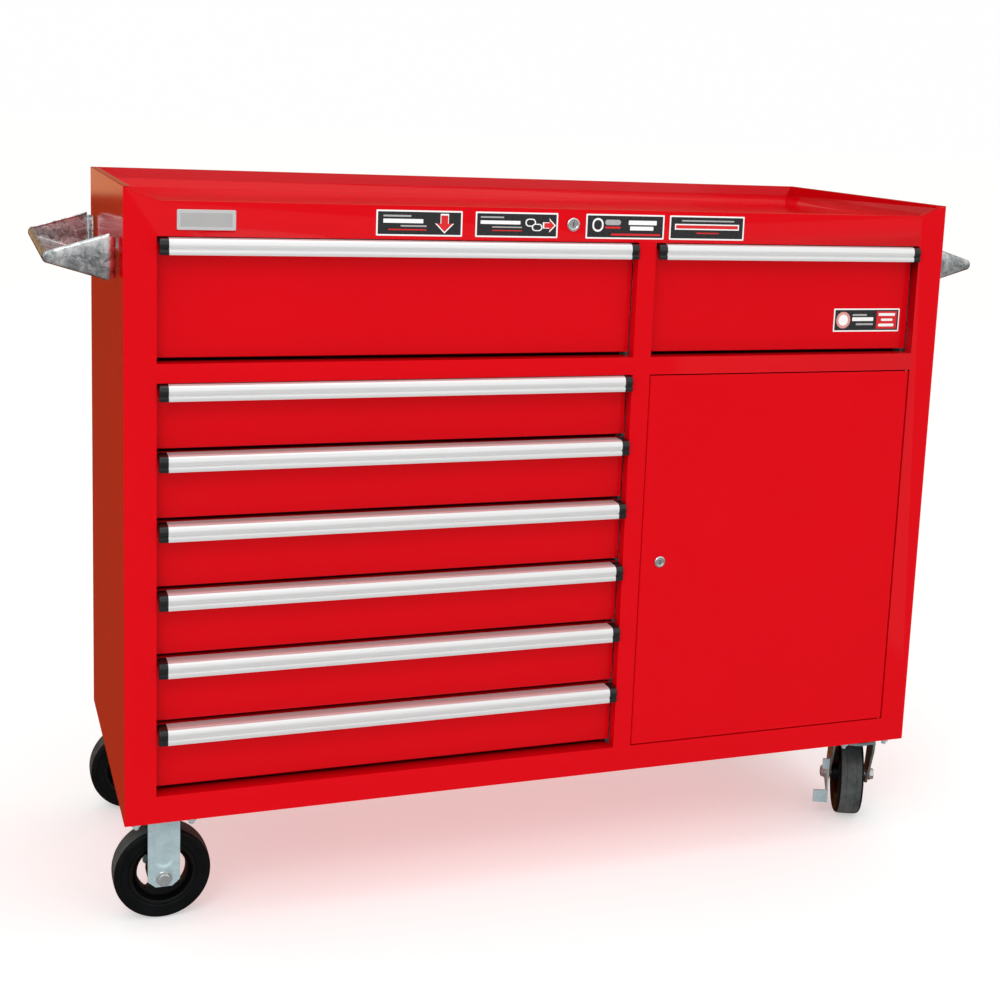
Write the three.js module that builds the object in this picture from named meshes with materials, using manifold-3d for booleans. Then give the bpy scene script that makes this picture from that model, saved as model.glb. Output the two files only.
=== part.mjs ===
// Rolling tool box: a wide steel cabinet with eight drawers, a lockable cupboard, a recessed top tray,
// two side handles, two fixed casters at the left end and two braked swivel casters at the right end.
//
// Units are millimetres and +Z is up. The root frame's origin is on the floor, under the middle of the
// bounding box; X runs to the right and the front faces -Y. The cabinet's own group has its origin at
// the front lower left corner of the sheet-metal body, so x = 0..WIDTH, y = 0..DEPTH, z = 0..HEIGHT.

import * as THREE from 'three';
import { mergeVertices } from 'three/addons/utils/BufferGeometryUtils.js';
import Module from 'manifold-3d';

const wasm = await Module();
wasm.setup();

// ---------------------------------------------------------------- driving dimensions
const WIDTH = 1372;             // body, side to side
const DEPTH = 550;              // body, front to back
const HEIGHT = 968;             // body, bottom edge to side rim
const CASTER_HEIGHT = 180;      // floor to the body's bottom edge
const SHEET = 2;                // panel thickness
const GAP = 0.3;                // clearance between pieces that touch

const STILE = 47;               // width of the two outer stiles
const CENTRE_STILE = [800, 831];
const SILL_TOP = 43.3;          // bottom rail
const MID_RAIL = [683, 712];
const TOP_RAIL_BOTTOM = 898;
const FRONT_LIP = 949.5;        // top edge of the front, lower than the side rims
const RETURN_DEPTH = 20;        // how far the frame's returns run back round each opening

const TRAY_FLOOR = 936.5;
const RIM = 10;                 // width of the rolled rim round the tray
const COVE = 14;                // sloped band at the foot of the tray's walls

const SMALL_PITCH = 106;        // spacing of the six drawers in the left bank
const SMALL_FRONT = 100;        // height of their fronts
const LOWEST_FRONT = 51.7;
const TALL_FRONT = [718, 896.5];
const FRONT_RECESS = 20;        // drawer fronts behind the frame's face
const FRONT_THICK = 12;
const SIDE_CLEAR = 1.5;         // gap beside a drawer front
const SLIDE_ROOM = 13;          // room for a slide beside a drawer box
const DRAWER_BACK = 500;
const PULL_HEIGHT = 25;
const PULL_PROUD = 9;           // how far a pull stands out in front of the frame's face
const PULL_END_GAPS = [3, 1];   // gaps between a pull's two ends and the stiles

const DOOR_GAP = 1.5;
const DOOR_THICK = 20;
const DOOR_CORNER = 3;          // bend radius of the door's vertical edges
const HINGE = [1319.5, 3.4];    // x and y of the door's pivot line
const HINGE_PIN_RADIUS = 2;

const MAIN_LOCK = [685.7, 925];
const DOOR_LOCK = [867.2, 364.5];
const LOCK_PROUD = 2.5;         // lock faces stand this far out of the front

const HANDLE_REACH = 107;
const HANDLE_ENDS = [66, 484];  // outer faces of a side handle's cheeks
const HANDLE_BASE = [821, 899];
const HANDLE_PLATE = 2.5;

const CASTER_INSET_X = 62;      // caster centres from the body's sides
const CASTER_INSET_Y = 66;      // and from its front and back
const WHEEL_RADIUS = 75;
const WHEEL_WIDTH = 46;
const AXLE_DROP = CASTER_HEIGHT - WHEEL_RADIUS;
const FORK_HALF = 38;           // half the outer width of a fork
const FORK_PLATE = 4;
const TRAIL = 45;               // swivel axis to axle
const FRONT_HEADING = 66.5;     // degrees from +X to the direction in which the front swivel trails
const REAR_HEADING = 180;

const FRONT_Y = -(DEPTH - PULL_PROUD) / 2;

// ---------------------------------------------------------------- materials
const paint = { color: 0xd8151c, roughness: 0.32, metalness: 0.1 };
const liner = { color: 0xb3151a, roughness: 0.5, metalness: 0.1 };
const aluminium = { color: 0xd9dadb, roughness: 0.28, metalness: 0.9 };
const galvanised = { color: 0xb8bdbf, roughness: 0.42, metalness: 0.85 };
const zinc = { color: 0xa9b9bf, roughness: 0.4, metalness: 0.7 };
const chrome = { color: 0xd0d2d4, roughness: 0.15, metalness: 1 };
const castIron = { color: 0x1b1b1c, roughness: 0.6, metalness: 0.3 };
const rubber = { color: 0x151516, roughness: 0.75, metalness: 0 };

// ---------------------------------------------------------------- solids
function solid(geometry) {
  geometry.deleteAttribute('normal');
  geometry.deleteAttribute('uv');
  const merged = mergeVertices(geometry, 1e-4);
  const mesh = new wasm.Mesh({
    numProp: 3,
    vertProperties: new Float32Array(merged.attributes.position.array),
    triVerts: new Uint32Array(merged.index.array),
  });
  return new wasm.Manifold(mesh);
}

function block([x0, x1], [y0, y1], [z0, z1]) {
  const geometry = new THREE.BoxGeometry(x1 - x0, y1 - y0, z1 - z0);
  geometry.translate((x0 + x1) / 2, (y0 + y1) / 2, (z0 + z1) / 2);
  return solid(geometry);
}

function extruded(shape, depth, matrix, curveSegments = 8) {
  const geometry = new THREE.ExtrudeGeometry(shape, { depth, bevelEnabled: false, curveSegments });
  geometry.applyMatrix4(matrix);
  return solid(geometry);
}

// The plane in which a profile is drawn, and the axis along which it is extruded from `from`.
function alongX(from) {
  return new THREE.Matrix4().makeBasis(
    new THREE.Vector3(0, 1, 0), new THREE.Vector3(0, 0, 1), new THREE.Vector3(1, 0, 0),
  ).setPosition(from, 0, 0);
}

function alongY(from) {
  return new THREE.Matrix4().makeBasis(
    new THREE.Vector3(-1, 0, 0), new THREE.Vector3(0, 0, 1), new THREE.Vector3(0, 1, 0),
  ).setPosition(0, from, 0);
}

function alongZ(from) {
  return new THREE.Matrix4().setPosition(0, 0, from);
}

function rod(axis, centre, radius, length, sides = 20) {
  const geometry = new THREE.CylinderGeometry(radius, radius, length, sides);
  if (axis === 'z') geometry.rotateX(Math.PI / 2);
  geometry.translate(...centre);
  return solid(geometry);
}

function polygon(points) {
  return new THREE.Shape(points.map(([x, y]) => new THREE.Vector2(x, y)));
}

function joined(...parts) {
  return parts.reduce((whole, part) => whole.add(part));
}

function cut(body, ...tools) {
  return tools.reduce((whole, tool) => whole.subtract(tool), body);
}

function piece(name, body, look) {
  const { vertProperties, triVerts } = body.getMesh();
  const geometry = new THREE.BufferGeometry();
  geometry.setAttribute('position', new THREE.BufferAttribute(vertProperties, 3));
  geometry.setIndex(new THREE.BufferAttribute(triVerts, 1));
  geometry.computeVertexNormals();
  const mesh = new THREE.Mesh(geometry, new THREE.MeshStandardMaterial(look));
  mesh.name = name;
  return mesh;
}

const group = new THREE.Group();
const cabinet = new THREE.Group();
cabinet.position.set(-WIDTH / 2, FRONT_Y, CASTER_HEIGHT);
group.add(cabinet);

// ---------------------------------------------------------------- sheet-metal body
const INNER_X = [SHEET + GAP, WIDTH - SHEET - GAP];
const INNER_Y = [SHEET + GAP, DEPTH - SHEET - GAP];
const OPENINGS = {
  upperLeft: [[STILE, CENTRE_STILE[0]], [MID_RAIL[1], TOP_RAIL_BOTTOM]],
  upperRight: [[CENTRE_STILE[1], WIDTH - STILE], [MID_RAIL[1], TOP_RAIL_BOTTOM]],
  leftBank: [[STILE, CENTRE_STILE[0]], [SILL_TOP, MID_RAIL[0]]],
  cupboard: [[CENTRE_STILE[1], WIDTH - STILE], [SILL_TOP, MID_RAIL[0]]],
};

// The front's top edge drops from the side rims to the lower front lip along two short diagonals.
function frontFrame() {
  const face = polygon([
    [0, 0], [-WIDTH, 0], [-WIDTH, HEIGHT], [-WIDTH + STILE, FRONT_LIP], [-STILE, FRONT_LIP], [0, HEIGHT],
  ]);
  let frame = extruded(face, SHEET, alongY(0));
  for (const [[x0, x1], [z0, z1]] of Object.values(OPENINGS)) {
    const outer = block([x0 - SHEET, x1 + SHEET], [0, RETURN_DEPTH], [z0 - SHEET, z1 + SHEET]);
    const inner = block([x0, x1], [-1, RETURN_DEPTH + 1], [z0, z1]);
    frame = cut(joined(frame, outer), inner);
  }
  const lockHole = rod('y', [MAIN_LOCK[0], 0, MAIN_LOCK[1]], 8.8, 10);
  return cut(frame, lockHole);
}

// Folded rim with a sloped band at its foot; its front is cut down to the front lip.
function trayRim() {
  const [x0, x1] = INNER_X;
  const [y0, y1] = INNER_Y;
  const foot = RIM + COVE;
  const ring = cut(
    block([x0, x1], [y0, y1], [TRAY_FLOOR - SHEET, HEIGHT]),
    block([x0 + foot, x1 - foot], [y0 + foot, y1 - foot], [0, HEIGHT]),
  );
  const well = block([x0 + RIM, x1 - RIM], [y0 + RIM, y1 - RIM], [TRAY_FLOOR + COVE, HEIGHT + 1]);
  const slopes = new THREE.CylinderGeometry(Math.SQRT1_2, Math.SQRT1_2 * 0.5, COVE, 4, 1);
  slopes.rotateY(Math.PI / 4);
  slopes.rotateX(Math.PI / 2);
  const position = slopes.attributes.position;
  const halfX = (x1 - x0) / 2 - RIM;
  const halfY = (y1 - y0) / 2 - RIM;
  for (let i = 0; i < position.count; i += 1) {
    const inset = position.getZ(i) < 0 ? COVE : 0;
    position.setX(i, Math.sign(Math.round(position.getX(i) * 8)) * (halfX - inset));
    position.setY(i, Math.sign(Math.round(position.getY(i) * 8)) * (halfY - inset));
  }
  slopes.translate((x0 + x1) / 2, (y0 + y1) / 2, TRAY_FLOOR + COVE / 2);
  const lipCut = polygon([
    [0, HEIGHT], [-STILE, FRONT_LIP], [-WIDTH + STILE, FRONT_LIP], [-WIDTH, HEIGHT],
    [-WIDTH, HEIGHT + 5], [0, HEIGHT + 5],
  ]);
  const hem = cut(
    block([x0 + SHEET, x1 - SHEET], [y0 + SHEET, y1 - SHEET], [0, FRONT_LIP - SHEET]),
    block([x0 + RIM - SHEET, x1 - RIM + SHEET], [y0 + RIM - SHEET, y1 - RIM + SHEET], [-1, HEIGHT]),
  );
  return cut(ring, well, solid(slopes), hem, extruded(lipCut, RIM + SHEET + 1, alongY(0)));
}

function sidePanel(x0) {
  return block([x0, x0 + SHEET], [SHEET + GAP, DEPTH - SHEET - GAP], [0, HEIGHT]);
}

// Two uprights and one rail for each drawer; `room` is the hollow that the uprights fill.
function slideRack(room, railX, [z0, z1], levels) {
  const [rackFront, rackBack] = [FRONT_RECESS + FRONT_THICK + 2, DRAWER_BACK - 5];
  const uprightDepths = [[rackFront, rackFront + 25], [rackBack - 25, rackBack]];
  const uprights = uprightDepths.map((depth) => block(room, depth, [z0, z1]));
  const rails = levels.map((z) => block(railX, [rackFront, rackBack], [z - 17, z + 17]));
  return joined(...rails, ...uprights);
}

const PARTITION_X = (CENTRE_STILE[0] + CENTRE_STILE[1]) / 2;
const DIVIDER_Z = MID_RAIL[0] + 7;
const partitionFaces = [PARTITION_X - SHEET / 2 - GAP, PARTITION_X + SHEET / 2 + GAP];

// Each drawer's opening in x and its front's height range; the first two are the tall ones.
const DRAWERS = [
  { name: 'drawer_1', span: OPENINGS.upperLeft[0], front: TALL_FRONT },
  { name: 'drawer_2', span: OPENINGS.upperRight[0], front: TALL_FRONT },
];
for (let row = 0; row < 6; row += 1) {
  const bottom = LOWEST_FRONT + (5 - row) * SMALL_PITCH;
  DRAWERS.push({ name: `drawer_${row + 3}`, span: OPENINGS.leftBank[0], front: [bottom, bottom + SMALL_FRONT] });
}
const slideLevel = ({ front }) => front[0] + 34;

cabinet.add(piece('front_frame', frontFrame(), paint));
cabinet.add(piece('left_side_panel', sidePanel(0), paint));
cabinet.add(piece('right_side_panel', sidePanel(WIDTH - SHEET), paint));
cabinet.add(piece('back_panel', block([0, WIDTH], [DEPTH - SHEET, DEPTH], [0, HEIGHT]), paint));
cabinet.add(piece('bottom_panel', block(INNER_X, INNER_Y, [0, SHEET]), paint));
cabinet.add(piece('tray_rim', trayRim(), paint));
const trayFloor = [INNER_X, INNER_Y].map(([low, high]) => [low + RIM + COVE + GAP, high - RIM - COVE - GAP]);
cabinet.add(piece('tray_floor_panel', block(...trayFloor, [TRAY_FLOOR - SHEET, TRAY_FLOOR]), paint));

const wallZ = [SHEET + GAP, TRAY_FLOOR - SHEET - GAP];
const partitionX = [PARTITION_X - SHEET / 2, PARTITION_X + SHEET / 2];
cabinet.add(piece('centre_partition', block(partitionX, INNER_Y, wallZ), liner));

const dividerX = [partitionFaces[1], INNER_X[1]];
const dividerY = [RETURN_DEPTH + GAP, INNER_Y[1]];
cabinet.add(piece('upper_divider', block(dividerX, dividerY, [DIVIDER_Z, DIVIDER_Z + SHEET]), liner));

const SHELF_Z = 360;
const shelf = joined(
  block(dividerX, [60, INNER_Y[1]], [SHELF_Z, SHELF_Z + SHEET]),
  block(dividerX, [60, 60 + SHEET], [SHELF_Z - 18, SHELF_Z + SHEET]),
);
cabinet.add(piece('cupboard_shelf', shelf, liner));

const bankLevels = DRAWERS.filter((drawer) => drawer.span === OPENINGS.leftBank[0]).map(slideLevel);
const leftLevels = [slideLevel(DRAWERS[0]), ...bankLevels];
const upperLevels = [slideLevel(DRAWERS[1])];
const upperZ = [DIVIDER_Z + SHEET + GAP, wallZ[1]];
const RAIL = 6;
const [leftX, leftEnd] = OPENINGS.upperLeft[0];
const [rightX, rightEnd] = OPENINGS.upperRight[0];
const racks = {
  slide_rack_left: [[INNER_X[0], leftX], [leftX - 1, leftX + RAIL], wallZ, leftLevels],
  slide_rack_centre_left: [[leftEnd, partitionFaces[0]], [leftEnd - RAIL, leftEnd + 1], wallZ, leftLevels],
  slide_rack_centre_right: [[partitionFaces[1], rightX], [rightX - 1, rightX + RAIL], upperZ, upperLevels],
  slide_rack_right: [[rightEnd, INNER_X[1]], [rightEnd - RAIL, rightEnd + 1], upperZ, upperLevels],
};
for (const [name, dimensions] of Object.entries(racks)) {
  cabinet.add(piece(name, slideRack(...dimensions), zinc));
}

// ---------------------------------------------------------------- drawers and their pulls
// An open box behind a thick front, with a slide member along each side.
function drawerBox({ span: [x0, x1], front: [z0, z1] }) {
  const level = slideLevel({ front: [z0, z1] });
  const boxX = [x0 + SLIDE_ROOM, x1 - SLIDE_ROOM];
  const backOfFront = FRONT_RECESS + FRONT_THICK;
  const boxZ = [z0 + 5, z1 - 14];
  const frontX = [x0 + SIDE_CLEAR, x1 - SIDE_CLEAR];
  const front = cut(
    block(frontX, [FRONT_RECESS, backOfFront], [z0, z1]),
    block([frontX[0] + SHEET, frontX[1] - SHEET], [FRONT_RECESS + SHEET, backOfFront - SHEET], [z0 - 1, z1 - SHEET]),
  );
  const shell = cut(
    block(boxX, [backOfFront - 1, DRAWER_BACK], boxZ),
    block([boxX[0] + SHEET, boxX[1] - SHEET], [backOfFront, DRAWER_BACK - SHEET], [boxZ[0] + SHEET, z1]),
  );
  const members = [[boxX[0] - SLIDE_ROOM + RAIL + 1, boxX[0] + 1], [boxX[1] - 1, boxX[1] + SLIDE_ROOM - RAIL - 1]];
  const runners = members.map((memberX) => block(memberX, [backOfFront + 5, DRAWER_BACK - 8], [level - 12, level + 12]));
  return joined(front, shell, ...runners);
}

// A hooked extrusion: flat back, top web, and a front band with a groove that fingers reach behind.
function pull({ span: [x0, x1], front: [, top] }) {
  const back = FRONT_RECESS - GAP;
  const tip = -PULL_PROUD;
  const ends = [x0 + PULL_END_GAPS[0], x1 - PULL_END_GAPS[1]];
  const profile = polygon([
    [back, top], [tip + 9, top], [tip + 3, top - 2], [tip + 0.6, top - 5], [tip, top - 9], [tip, top - 15],
    [tip + 1, top - 15.8], [tip, top - 16.6], [tip, top - PULL_HEIGHT], [tip + 3, top - PULL_HEIGHT],
    [tip + 3.5, top - 9], [tip + 6, top - 5],
    [back - 2.5, top - 5], [back - 2.5, top - PULL_HEIGHT], [back, top - PULL_HEIGHT],
  ]);
  return extruded(profile, ends[1] - ends[0], alongX(ends[0]));
}

for (const drawer of DRAWERS) {
  cabinet.add(piece(drawer.name, drawerBox(drawer), paint));
  cabinet.add(piece(`${drawer.name}_pull`, pull(drawer), aluminium));
}

// ---------------------------------------------------------------- cupboard door, hinge pins and locks
const [doorOpeningX, doorOpeningZ] = OPENINGS.cupboard;
const DOOR_X = doorOpeningX.map((x, end) => x + (end ? -DOOR_GAP : DOOR_GAP));
const DOOR_Z = [doorOpeningZ[0] + DOOR_GAP + 0.5, doorOpeningZ[1] - DOOR_GAP - 0.5];
const PIN_DEPTH = 8;

function cupboardDoor() {
  const [x0, x1] = DOOR_X;
  const outline = new THREE.Shape();
  outline.moveTo(x0 + DOOR_CORNER, 0);
  outline.lineTo(x1 - DOOR_CORNER, 0);
  outline.absarc(x1 - DOOR_CORNER, DOOR_CORNER, DOOR_CORNER, -Math.PI / 2, 0);
  outline.lineTo(x1, DOOR_THICK);
  outline.lineTo(x0, DOOR_THICK);
  outline.absarc(x0 + DOOR_CORNER, DOOR_CORNER, DOOR_CORNER, Math.PI, Math.PI * 1.5);
  const slab = extruded(outline, DOOR_Z[1] - DOOR_Z[0], alongZ(DOOR_Z[0]), 5);
  const lockBore = rod('y', [DOOR_LOCK[0], DOOR_THICK / 2, DOOR_LOCK[1]], 8.8, DOOR_THICK + 2);
  const pinBores = DOOR_Z.map((z) => rod('z', [...HINGE, z], HINGE_PIN_RADIUS + GAP, 2 * PIN_DEPTH, 16));
  const back = DOOR_THICK + 1;
  const lockBoss = [DOOR_LOCK[0] - 14, DOOR_LOCK[0] + 14];
  const hollow = cut(
    block([x0 + SHEET, x1 - 10], [SHEET, back], [DOOR_Z[0] + SHEET, DOOR_Z[1] - SHEET]),
    block(lockBoss, [0, back], [DOOR_LOCK[1] - 14, DOOR_LOCK[1] + 14]),
  );
  return cut(slab, hollow, lockBore, ...pinBores);
}

// Lock face, barrel and cam turn as one piece; the cam points along `camAngle` from +X towards +Z.
function lockPlug([x, z], faceRadius, camLength, camAngle) {
  const face = rod('y', [x, -LOCK_PROUD / 2 - GAP / 2, z], faceRadius, LOCK_PROUD - GAP);
  const barrel = rod('y', [x, 11, z], 8.5, 24);
  const keyway = block([x - 0.8, x + 0.8], [-LOCK_PROUD - 1, 6], [z - 4.5, z + 4.5]);
  const cam = new THREE.Shape();
  cam.absarc(0, 0, 8.5, Math.PI / 2, Math.PI * 1.5);
  cam.lineTo(camLength - 5, -5);
  cam.absarc(camLength - 5, 0, 5, -Math.PI / 2, Math.PI / 2);
  const camBody = new THREE.ExtrudeGeometry(cam, { depth: 3, bevelEnabled: false, curveSegments: 8 });
  camBody.rotateX(Math.PI / 2);
  camBody.rotateY(-camAngle * Math.PI / 180);
  camBody.translate(x, 26, z);
  return cut(joined(face, barrel, solid(camBody)), keyway);
}

cabinet.add(piece('cupboard_door', cupboardDoor(), paint));
const pinSpan = (PIN_DEPTH - 1) + (DOOR_GAP + 0.5 - GAP);
const pinCentres = [doorOpeningZ[0] + GAP + pinSpan / 2, doorOpeningZ[1] - GAP - pinSpan / 2];
['lower', 'upper'].forEach((end, i) => {
  const pin = rod('z', [...HINGE, pinCentres[i]], HINGE_PIN_RADIUS, pinSpan, 16);
  cabinet.add(piece(`door_hinge_pin_${end}`, pin, chrome));
});
cabinet.add(piece('door_lock', lockPlug(DOOR_LOCK, 9.5, 45, -90), chrome));
cabinet.add(piece('main_lock', lockPlug(MAIN_LOCK, 10.5, 20, 0), chrome));

// A vertical bar behind the drawers, hung from an arm that runs forward to the main lock's cam.
const BAR_X = [MAIN_LOCK[0] - 10, MAIN_LOCK[0] + 10];
const lockBar = joined(
  block(BAR_X, [511, 514], [62, 914]),
  block(BAR_X, [29, 514], [911, 914]),
);
cabinet.add(piece('lock_bar', lockBar, zinc));

// ---------------------------------------------------------------- side handles
// One bent sheet: two tapering cheeks, a lip that wraps the outer end, and flanges on the panel.
function sideHandle(mirror) {
  const [low, high] = HANDLE_BASE;
  const middle = (low + high) / 2;
  const tip = 10;
  const centre = HANDLE_REACH - tip;
  const tilt = Math.atan2((high - low) / 2 - tip, centre);
  const wedge = (grow) => {
    const edge = grow / Math.cos(tilt);
    const shape = new THREE.Shape();
    shape.moveTo(GAP, high - edge);
    shape.lineTo(GAP, low + edge);
    shape.absarc(centre, middle, tip - grow, -Math.PI / 2 + tilt, Math.PI / 2 - tilt);
    return shape;
  };
  const [y0, y1] = HANDLE_ENDS;
  const body = extruded(wedge(0), y1 - y0, alongY(y0));
  const hollow = extruded(wedge(HANDLE_PLATE), y1 - y0 - 2 * HANDLE_PLATE, alongY(y0 + HANDLE_PLATE));
  const openTop = block([-HANDLE_REACH + 8, 5], [y0 + HANDLE_PLATE, y1 - HANDLE_PLATE], [middle, high + 20]);
  const openBase = block([-58, 5], [y0 + HANDLE_PLATE, y1 - HANDLE_PLATE], [low - 20, high + 20]);
  const flanges = [[y0 + 1, y0 + 32], [y1 - 32, y1 - 1]].map(
    (depth) => block([-GAP - HANDLE_PLATE, -GAP], depth, [low + 1, high - 1]),
  );
  const handle = joined(cut(body, hollow, openTop, openBase), ...flanges);
  return mirror ? handle.mirror([1, 0, 0]).translate([WIDTH, 0, 0]) : handle;
}

cabinet.add(piece('left_handle', sideHandle(false), galvanised));
cabinet.add(piece('right_handle', sideHandle(true), galvanised));

// ---------------------------------------------------------------- casters
const PLATE = { x: 115, y: 100, z: 5 };
const BOLT_SPACING = { x: 84, y: 76 };
const HUB_HALF = 30;
const HUB_RADIUS = 20;
const BORE_RADIUS = 6.4;
const AXLE_RADIUS = 6;
const CORE_RADIUS = 52;
const WHEEL_SEGMENTS = 28;

// A lathe profile given as [radius, distance along the axle], closed on itself, with its axle along Y.
function turned(profile) {
  const points = [...profile, profile[0]].map(([radius, along]) => new THREE.Vector2(radius, along));
  return solid(new THREE.LatheGeometry(points, WHEEL_SEGMENTS));
}

function tyre() {
  const half = WHEEL_WIDTH / 2;
  const inner = CORE_RADIUS + GAP;
  return turned([
    [inner, -half + 2], [66, -half], [72, -half + 2], [WHEEL_RADIUS, -half + 8],
    [WHEEL_RADIUS, half - 8], [72, half - 2], [66, half], [inner, half - 2],
  ]);
}

// A cast centre with two kidney-shaped windows beside the hub.
function wheelCore() {
  const body = turned([
    [BORE_RADIUS, -HUB_HALF], [HUB_RADIUS, -HUB_HALF], [HUB_RADIUS, -8], [42, -8], [44, -20],
    [CORE_RADIUS, -20], [CORE_RADIUS, 20], [44, 20], [42, 8], [HUB_RADIUS, 8],
    [HUB_RADIUS, HUB_HALF], [BORE_RADIUS, HUB_HALF],
  ]);
  const windows = [0, Math.PI].map((middle) => {
    const spread = 1;
    const inner = HUB_RADIUS + 3;
    const outer = 38;
    const shape = new THREE.Shape();
    shape.absarc(0, 0, outer, middle - spread, middle + spread);
    shape.absarc(0, 0, inner, middle + spread, middle - spread, true);
    return extruded(shape, 40, alongY(-20), 5);
  });
  return cut(body, ...windows);
}

// Bolt head, shank and nut as one piece.
function axleBolt(half) {
  const shank = rod('y', [0, 0, 0], AXLE_RADIUS, 2 * half + 14, 16);
  const hexagon = (y) => rod('y', [0, y, 0], 11, 8, 6);
  return joined(shank, hexagon(-half - GAP - 4), hexagon(half + GAP + 4));
}

function plateBody(plateX, plateY) {
  const slab = block([-plateX / 2, plateX / 2], [-plateY / 2, plateY / 2], [-GAP - PLATE.z, -GAP]);
  const bolts = [];
  for (const sx of [-1, 1]) {
    for (const sy of [-1, 1]) {
      const place = [sx * BOLT_SPACING.x / 2, sy * BOLT_SPACING.y / 2];
      bolts.push(rod('z', [...place, -GAP - PLATE.z - 4], 9, 9, 6));
      bolts.push(rod('z', [...place, -GAP - PLATE.z - 8], 4, 12, 8));
    }
  }
  return joined(slab, ...bolts);
}

// Straight legs with cut-off feet and a pressed channel, welded under the top plate.
function fixedBracket() {
  const legHalf = 24.5;
  const foot = -AXLE_DROP - 14;
  const leg = polygon([
    [-legHalf, -GAP - PLATE.z + 1], [-legHalf, foot + 10], [-legHalf + 12, foot],
    [legHalf - 12, foot], [legHalf, foot + 10], [legHalf, -GAP - PLATE.z + 1],
  ]);
  const channel = new THREE.Shape();
  channel.moveTo(13, -14);
  channel.lineTo(-13, -14);
  channel.lineTo(-13, -AXLE_DROP + 36);
  channel.absarc(0, -AXLE_DROP + 36, 13, Math.PI, 2 * Math.PI);
  const legs = [-1, 1].map((side) => {
    const outer = side * FORK_HALF;
    const from = Math.min(outer, outer - side * FORK_PLATE);
    const pressed = side < 0 ? -FORK_HALF - 1 : FORK_HALF - 1.5;
    return cut(
      extruded(leg, FORK_PLATE, alongY(from)),
      extruded(channel, 2.5, alongY(pressed)),
      rod('y', [0, outer, -AXLE_DROP], AXLE_RADIUS + GAP, 20, 16),
    );
  });
  const crown = block([-legHalf, legHalf], [-FORK_HALF, FORK_HALF], [-GAP - PLATE.z - 4, -GAP - PLATE.z + 1]);
  return joined(plateBody(PLATE.x, PLATE.y), crown, ...legs);
}

// Legs that rake back from the swivel crown to the trailing axle; x runs along the trail.
function swivelFork() {
  const crownTop = -14;
  const leg = new THREE.Shape();
  leg.moveTo(30, crownTop);
  leg.lineTo(-34, crownTop);
  leg.lineTo(-TRAIL - 17, -AXLE_DROP + 4);
  leg.absarc(-TRAIL, -AXLE_DROP, 17, Math.PI, 2 * Math.PI - 0.5);
  leg.lineTo(22, crownTop - 22);
  const legs = [-1, 1].map((side) => {
    const outer = side * FORK_HALF;
    const from = Math.min(outer, outer - side * FORK_PLATE);
    return cut(
      extruded(leg, FORK_PLATE, alongY(from)),
      rod('y', [TRAIL, outer, -AXLE_DROP], AXLE_RADIUS + GAP, 20, 16),
    );
  });
  const crown = joined(
    block([-30, 34], [-FORK_HALF, FORK_HALF], [crownTop - 4, crownTop]),
    rod('z', [0, 0, crownTop - 2], FORK_HALF + 3, 4, 28),
    rod('z', [0, 0, crownTop - 6], 9, 8, 6),
  );
  return joined(crown, ...legs);
}

// A side lever that turns on the axle, with a foot tab bent outwards and a small release tab above.
const LEVER_THICK = 3;
const LEVER_Y = [FORK_HALF + GAP, FORK_HALF + GAP + LEVER_THICK];
function brakePedal() {
  const lever = polygon([
    [0, -148], [-8, -148], [-16, -130], [-TRAIL - 5, -118], [-TRAIL - 12, -AXLE_DROP],
    [-TRAIL - 5, -92], [-22, -88], [-18, -62], [-2, -62], [-4, -90], [0, -124],
  ]);
  const plate = extruded(lever, LEVER_THICK, alongY(LEVER_Y[0]));
  const footTab = block([0, 3], [LEVER_Y[0], LEVER_Y[1] + 24], [-148, -124]);
  const releaseTab = block([4, 7], [LEVER_Y[0], LEVER_Y[1] + 10], [-84, -64]);
  const bore = rod('y', [TRAIL, FORK_HALF, -AXLE_DROP], AXLE_RADIUS + GAP, 20, 16);
  return cut(joined(plate, footTab, releaseTab), bore);
}

function wheelPieces(holder, name, axleX, boltHalf) {
  const parts = [
    piece(`${name}_tyre`, tyre(), rubber),
    piece(`${name}_core`, wheelCore(), castIron),
    piece(`${name}_axle_bolt`, axleBolt(boltHalf), zinc),
  ];
  for (const part of parts) {
    part.position.set(axleX, 0, -AXLE_DROP);
    holder.add(part);
  }
}

const CASTER_X = [CASTER_INSET_X, WIDTH - CASTER_INSET_X];
const CASTER_Y = { front: CASTER_INSET_Y, rear: DEPTH - CASTER_INSET_Y };
const HEADING = { front: FRONT_HEADING, rear: REAR_HEADING };

for (const [end, y] of Object.entries(CASTER_Y)) {
  const fixed = new THREE.Group();
  fixed.position.set(CASTER_X[0], y, 0);
  fixed.add(piece(`fixed_${end}_bracket`, fixedBracket(), zinc));
  wheelPieces(fixed, `fixed_${end}`, 0, FORK_HALF);

  const mount = new THREE.Group();
  mount.position.set(CASTER_X[1], y, 0);
  const raceway = rod('z', [0, 0, -GAP - PLATE.z - 4], FORK_HALF - 3, 8.2, 28);
  mount.add(piece(`swivel_${end}_plate`, joined(plateBody(PLATE.x, PLATE.y), raceway), zinc));

  const swivel = new THREE.Group();
  swivel.rotation.z = THREE.MathUtils.degToRad(HEADING[end]);
  swivel.add(piece(`swivel_${end}_fork`, swivelFork(), zinc));
  swivel.add(piece(`swivel_${end}_brake_pedal`, brakePedal(), zinc));
  wheelPieces(swivel, `swivel_${end}`, TRAIL, LEVER_Y[1]);
  mount.add(swivel);

  cabinet.add(fixed, mount);
}

export default group;
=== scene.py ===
"""Looks of the rolling tool box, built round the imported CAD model.

Shapes are worked out in millimetres from the front lower left corner of the sheet-metal body
(x to the right, y towards the back, z up) and moved to the row frame, in metres, as each piece is made.
"""

import math

import bmesh
import bpy
from mathutils import Matrix, Vector


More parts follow.
